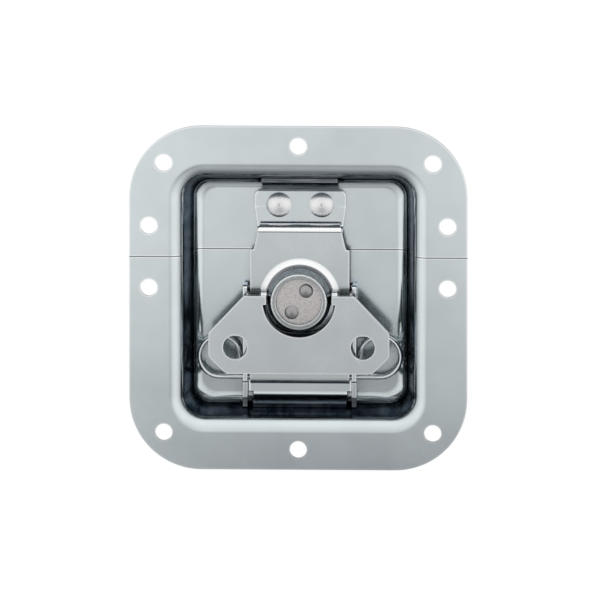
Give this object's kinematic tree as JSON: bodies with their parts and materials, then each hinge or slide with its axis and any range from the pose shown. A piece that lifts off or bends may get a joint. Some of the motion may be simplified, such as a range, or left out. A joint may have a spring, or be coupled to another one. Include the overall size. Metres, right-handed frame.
{
  "type": "butterfly latch",
  "caption": "Recessed butterfly latch: a winged handle turns a rotor whose eccentric slides a hooked claw onto a keeper, in a pressed two-part dish.",
  "frame": {"origin": "middle of the flange in plan, level with the ends of the rivet tails, which the latch lies on", "axes": "+X across the latch, +Y from the handle towards the keeper, +Z out of the dish towards the user"},
  "size_m": [0.103, 0.1056, 0.0202],
  "materials": {
    "dish_plating": "satin bright plating",
    "bright_plating": "bright plating",
    "rivet_plating": "plated and peened",
    "brushed_plating": "fine brushed grain under bright plating",
    "spring_wire": "drawn and plated",
    "sintered_steel": "sintered, fine pores",
    "turned_plating": "turned, thinly plated",
    "dark_steel": "plain peened steel",
    "dark_spring": "oiled spring steel"
  },
  "bodies": {
    "root": {"dish_lower": "dish_plating", "dish_upper": "dish_plating", "keeper_plate": "bright_plating", "keeper_rivet_left": "rivet_plating", "keeper_rivet_right": "rivet_plating", "guide_channel": "bright_plating", "channel_rivet_1": "rivet_plating", "channel_rivet_2": "rivet_plating", "channel_rivet_3": "rivet_plating", "channel_rivet_4": "rivet_plating"},
    "rotor": {"eccentric_cam": "sintered_steel", "rotor_drum": "turned_plating", "retaining_washer": "rivet_plating", "spindle_rivet_upper": "dark_steel", "spindle_rivet_lower": "dark_steel", "hinge_pin_left": "dark_steel", "hinge_pin_right": "dark_steel", "torsion_spring_left": "dark_spring", "torsion_spring_right": "dark_spring"},
    "claw": {"claw_plate": "brushed_plating", "wire_spring": "spring_wire"},
    "handle": {"butterfly_handle": "brushed_plating"}
  },
  "joints": [
    {"name": "rotor_spin", "type": "hinge", "parent": "root", "child": "rotor", "pos_m": [0, -0.0017, 0.0082], "axis": [0, 0, 1], "range_deg": [0, 180]},
    {"name": "claw_slide", "type": "slide", "parent": "root", "child": "claw", "axis": [0, 1, 0], "range_m": [0, 0.006]},
    {"name": "handle_fold", "type": "hinge", "parent": "rotor", "child": "handle", "pos_m": [0, -0.0005, 0.0116], "axis": [-1, 0, 0], "range_deg": [0, 90]}
  ],
  "couplings": [
    {"joint": "claw_slide", "follows": "rotor_spin", "m_per_rad": 0.0019099}
  ]
}
